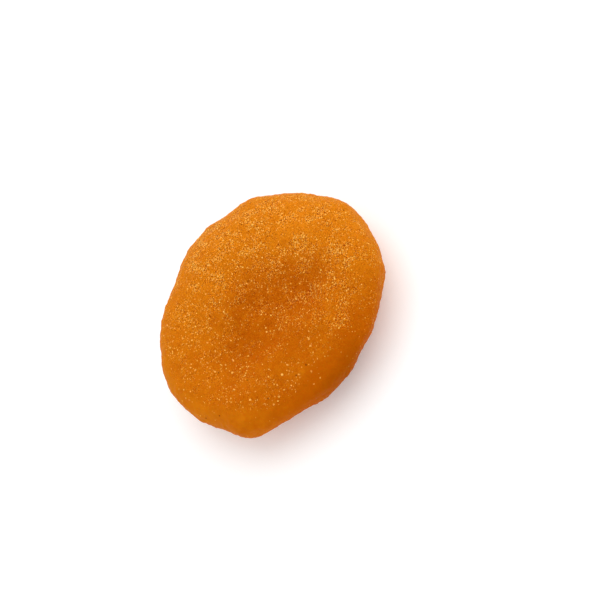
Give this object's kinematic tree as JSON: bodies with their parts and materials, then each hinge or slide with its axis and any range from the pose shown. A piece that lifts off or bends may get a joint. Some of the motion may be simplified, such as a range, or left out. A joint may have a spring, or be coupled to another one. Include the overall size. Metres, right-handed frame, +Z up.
{
  "type": "dried apricot",
  "caption": "Whole dried apricot with its stone out: a flattened oval fruit with a dished, folded face and a closed slit in its rim, lying on its back.",
  "frame": {"origin": "middle of the footprint, on the surface that the fruit rests on", "axes": "+X along the long axis to the tip, away from the stem end; +Y towards the side of the slit that the stone came out of; +Z up, out of the dished face"},
  "size_m": [0.0398, 0.0346, 0.0123],
  "materials": {
    "skin": "soft satin orange skin, wrinkled, with fine pale grains all over the face"
  },
  "bodies": {
    "root": {"apricot": "skin"}
  },
  "joints": []
}
